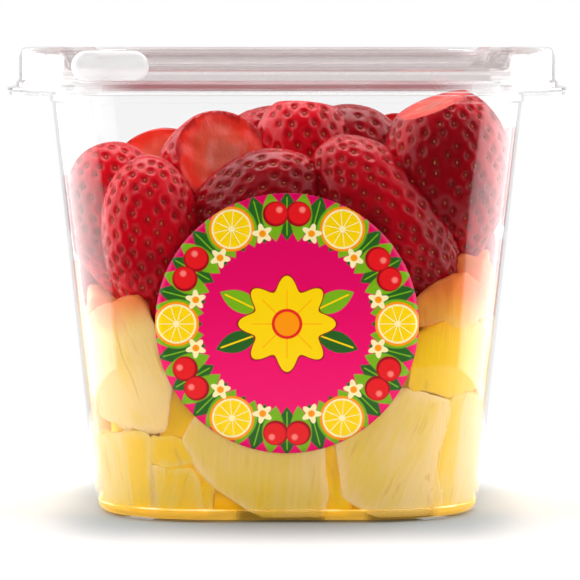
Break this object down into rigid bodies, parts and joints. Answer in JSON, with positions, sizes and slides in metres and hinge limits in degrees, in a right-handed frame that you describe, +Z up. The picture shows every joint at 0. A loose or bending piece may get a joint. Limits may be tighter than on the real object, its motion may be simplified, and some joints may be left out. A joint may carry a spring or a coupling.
{
  "type": "fruit cup",
  "caption": "Clear square deli cup with a press-on lid, filled with strawberries over pineapple pieces, and a plain round printed label on its front.",
  "frame": {"origin": "the middle of the tub's foot, on the surface that it stands on", "axes": "+Z up; -Y is the front, where the label is; +X to the right as seen from the front"},
  "size_m": [0.132, 0.132, 0.1127],
  "materials": {
    "clear_plastic": "thin clear thermoformed plastic, glossy",
    "label_print": "gloss printed label stock",
    "strawberry": "wet glossy red fruit skin with sunken seeds",
    "pineapple": "moist cut fruit flesh, half matt"
  },
  "bodies": {
    "root": {"tub": "clear_plastic", "lid": "clear_plastic", "label": "label_print", "strawberry_heap": "strawberry", "pineapple_heap": "pineapple"}
  },
  "joints": []
}
